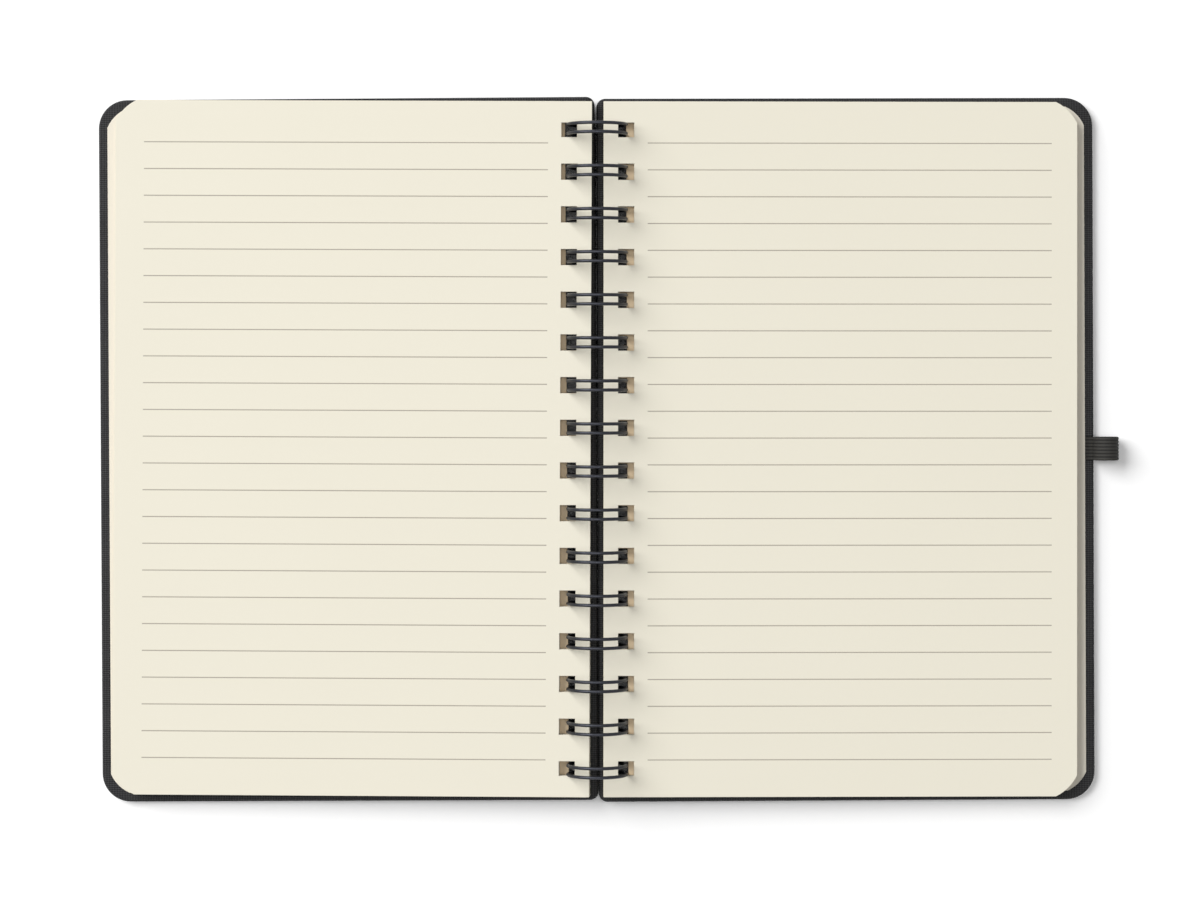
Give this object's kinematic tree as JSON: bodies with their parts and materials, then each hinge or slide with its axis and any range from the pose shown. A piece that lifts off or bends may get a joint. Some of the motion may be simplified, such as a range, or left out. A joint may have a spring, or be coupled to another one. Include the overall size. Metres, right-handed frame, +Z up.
{
  "type": "spiral notebook",
  "caption": "Open A5 hard-cover notebook lying flat: black wrapped boards, cream leaves, twin-loop wire binding and an elastic pen loop on the back cover's fore edge.",
  "frame": {"origin": "middle of the open notebook's footprint, on the table it lies on", "axes": "+Z up, off the pages; +X across the open book, from the front cover to the back cover and its pen loop; +Y along the binding, towards the heads of the pages"},
  "size_m": [0.305, 0.2108, 0.0185],
  "materials": {
    "cover_skin": "matt black synthetic leather with a fine woven emboss, over board",
    "endpaper": "uncoated cream paper",
    "leaves": "uncoated cream paper with faint ruled lines",
    "wire": "dark gunmetal coated wire, satin",
    "elastic": "black ribbed elastic"
  },
  "bodies": {
    "back": {"back_cover": "cover_skin", "back_endpaper": "endpaper", "back_leaves": "leaves", "pen_loop": "elastic"},
    "front": {"front_cover": "cover_skin", "front_endpaper": "endpaper", "front_leaves": "leaves"},
    "wire": {"binding_wire": "wire"}
  },
  "joints": [
    {"name": "front_cover_hinge", "type": "hinge", "parent": "back", "child": "front", "pos_m": [-0.00335, 0.00021, 0.0093], "axis": [0, 1, 0], "range_deg": [0, 182]},
    {"name": "wire_turn", "type": "hinge", "parent": "back", "child": "wire", "pos_m": [-0.00335, 0.00021, 0.0093], "axis": [0, 1, 0], "range_deg": [-20, 20]}
  ]
}
